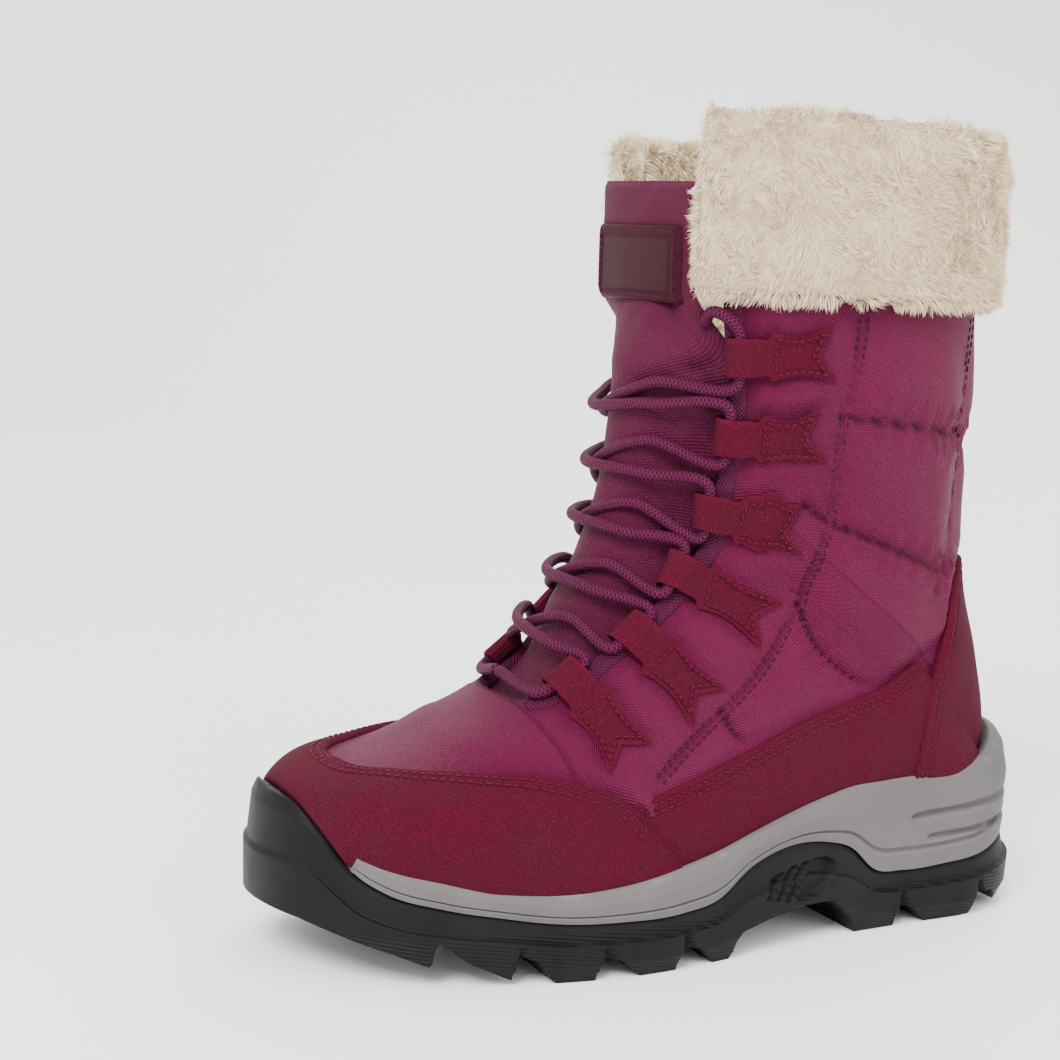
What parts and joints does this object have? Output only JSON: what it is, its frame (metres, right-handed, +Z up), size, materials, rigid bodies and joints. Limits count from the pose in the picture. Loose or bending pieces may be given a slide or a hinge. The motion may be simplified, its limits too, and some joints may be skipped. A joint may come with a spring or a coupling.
{
  "type": "snow boot",
  "caption": "Mid-calf winter boot with a quilted textile shaft, suede guards, forked lace tabs, a turned-down fur cuff and a deeply lugged rubber sole.",
  "frame": {"origin": "centre of the boot's box, on the floor under the sole", "axes": "+Z up, toe towards -Y, lateral (outer) side towards +X"},
  "size_m": [0.1142, 0.2744, 0.2614],
  "materials": {
    "nylon": "quilted ripstop nylon, magenta purple, softly sheened",
    "suede": "brushed suede, dark crimson, stitched edges",
    "fur": "deep cream pile",
    "lining": "short cream pile",
    "patch": "bare stitched patch, dark",
    "lace": "round braided cord, plum",
    "foam": "matt warm grey moulded midsole",
    "rubber": "matt black moulded rubber"
  },
  "bodies": {
    "root": {"outsole": "rubber", "midsole": "foam", "insole": "lining", "upper": "nylon", "toe_guard": "suede", "side_guard_lateral": "suede", "side_guard_medial": "suede", "heel_counter": "suede", "tongue": "nylon", "tongue_patch": "patch", "fur_cuff": "fur", "tab_lateral_1": "suede", "tab_lateral_2": "suede", "tab_lateral_3": "suede", "tab_lateral_4": "suede", "tab_lateral_5": "suede", "tab_lateral_6": "suede", "tab_medial_1": "suede", "tab_medial_2": "suede", "tab_medial_3": "suede", "tab_medial_4": "suede", "tab_medial_5": "suede", "tab_medial_6": "suede", "lace_bar": "lace", "lace_cross_1": "lace", "lace_cross_2": "lace", "lace_cross_3": "lace", "lace_cross_4": "lace", "lace_cross_5": "lace"}
  },
  "joints": []
}
